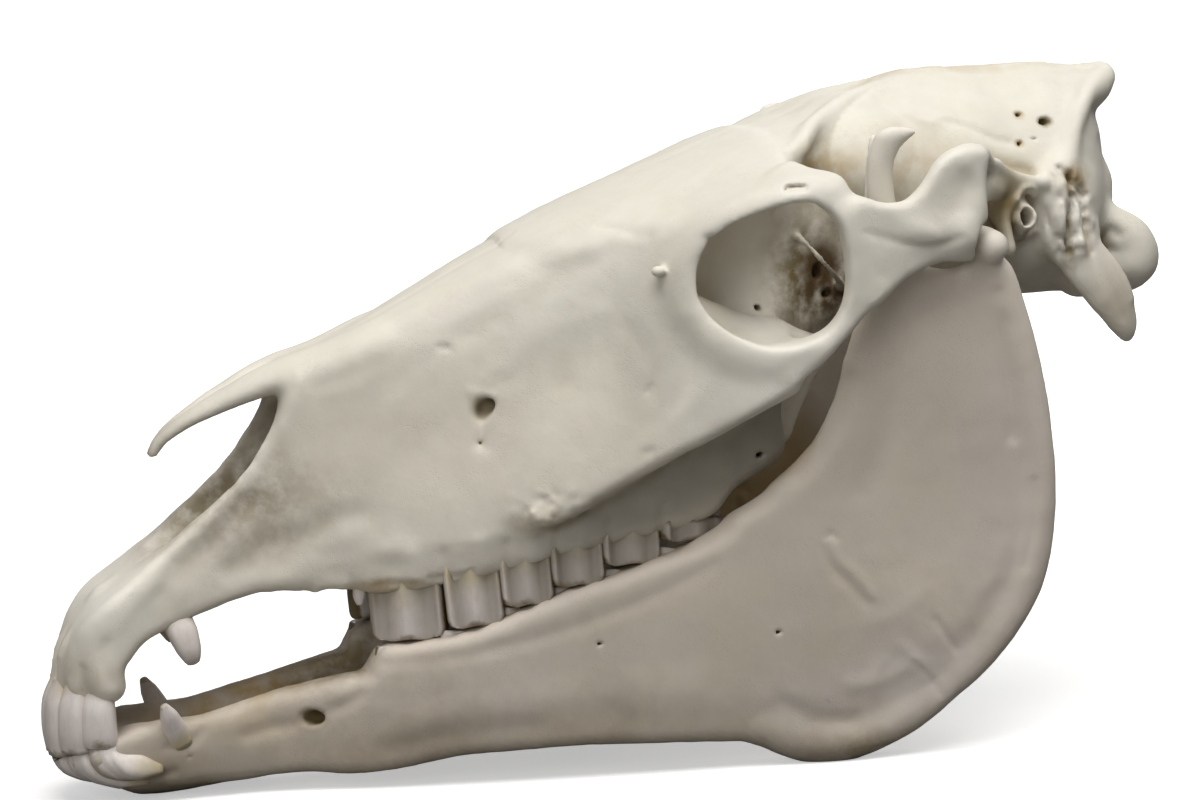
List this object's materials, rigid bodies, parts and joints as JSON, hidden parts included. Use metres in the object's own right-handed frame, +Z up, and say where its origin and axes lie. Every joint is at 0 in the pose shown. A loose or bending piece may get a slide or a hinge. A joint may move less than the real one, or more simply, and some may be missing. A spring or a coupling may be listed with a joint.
{
  "type": "horse skull",
  "caption": "Skull of an adult horse, cranium and lower jaw with their teeth, resting on the chin and the angles of the jaw.",
  "frame": {"origin": "middle of the bounding box in plan, on the floor under the jaw", "axes": "+X toward the back of the head, incisors at -X; Y across, the animal's left side at -Y; +Z up"},
  "size_m": [0.5115, 0.2165, 0.2979],
  "materials": {
    "cranium_bone": "dry, cleaned bone, matte, cream-white with olive-brown stains in the hollows",
    "mandible_bone": "dry, cleaned bone, matte, slightly greyer than the cranium",
    "tooth_enamel": "pale lilac-grey enamel with beige cement, satin sheen"
  },
  "bodies": {
    "root": {"cranium": "cranium_bone", "mandible": "mandible_bone"}
  },
  "joints": []
}
